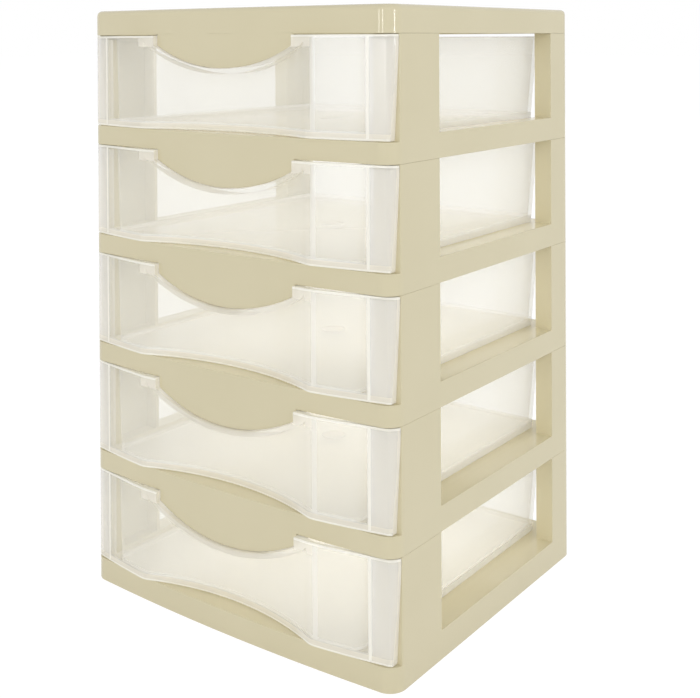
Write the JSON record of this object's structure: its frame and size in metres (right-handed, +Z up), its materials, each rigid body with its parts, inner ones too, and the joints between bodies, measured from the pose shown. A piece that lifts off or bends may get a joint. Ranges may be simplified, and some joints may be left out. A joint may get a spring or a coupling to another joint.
{
  "type": "drawer tower",
  "caption": "Free-standing desk-size plastic tower of stacked frames with open sides, each holding a see-through drawer with a curved finger pocket and grip strip.",
  "frame": {"origin": "middle of the width and depth on the surface that the tower stands on", "axes": "+Z up, the drawers open towards -Y, +X to the right when looking at the drawer fronts"},
  "size_m": [0.18, 0.168, 0.28],
  "materials": {
    "frame_plastic": "satin",
    "drawer_plastic": "gloss"
  },
  "bodies": {
    "tower": {"top_cover": "frame_plastic", "base_frame": "frame_plastic", "tier_frame_1": "frame_plastic", "tier_frame_2": "frame_plastic", "tier_frame_3": "frame_plastic", "tier_frame_4": "frame_plastic"},
    "drawer_1": {"drawer_1": "drawer_plastic"},
    "drawer_2": {"drawer_2": "drawer_plastic"},
    "drawer_3": {"drawer_3": "drawer_plastic"},
    "drawer_4": {"drawer_4": "drawer_plastic"},
    "drawer_5": {"drawer_5": "drawer_plastic"}
  },
  "joints": [
    {"name": "drawer_1_slide", "type": "slide", "parent": "tower", "child": "drawer_1", "axis": [0, -1, 0], "range_m": [0, 0.155]},
    {"name": "drawer_2_slide", "type": "slide", "parent": "tower", "child": "drawer_2", "axis": [0, -1, 0], "range_m": [0, 0.155]},
    {"name": "drawer_3_slide", "type": "slide", "parent": "tower", "child": "drawer_3", "axis": [0, -1, 0], "range_m": [0, 0.155]},
    {"name": "drawer_4_slide", "type": "slide", "parent": "tower", "child": "drawer_4", "axis": [0, -1, 0], "range_m": [0, 0.155]},
    {"name": "drawer_5_slide", "type": "slide", "parent": "tower", "child": "drawer_5", "axis": [0, -1, 0], "range_m": [0, 0.155]}
  ]
}
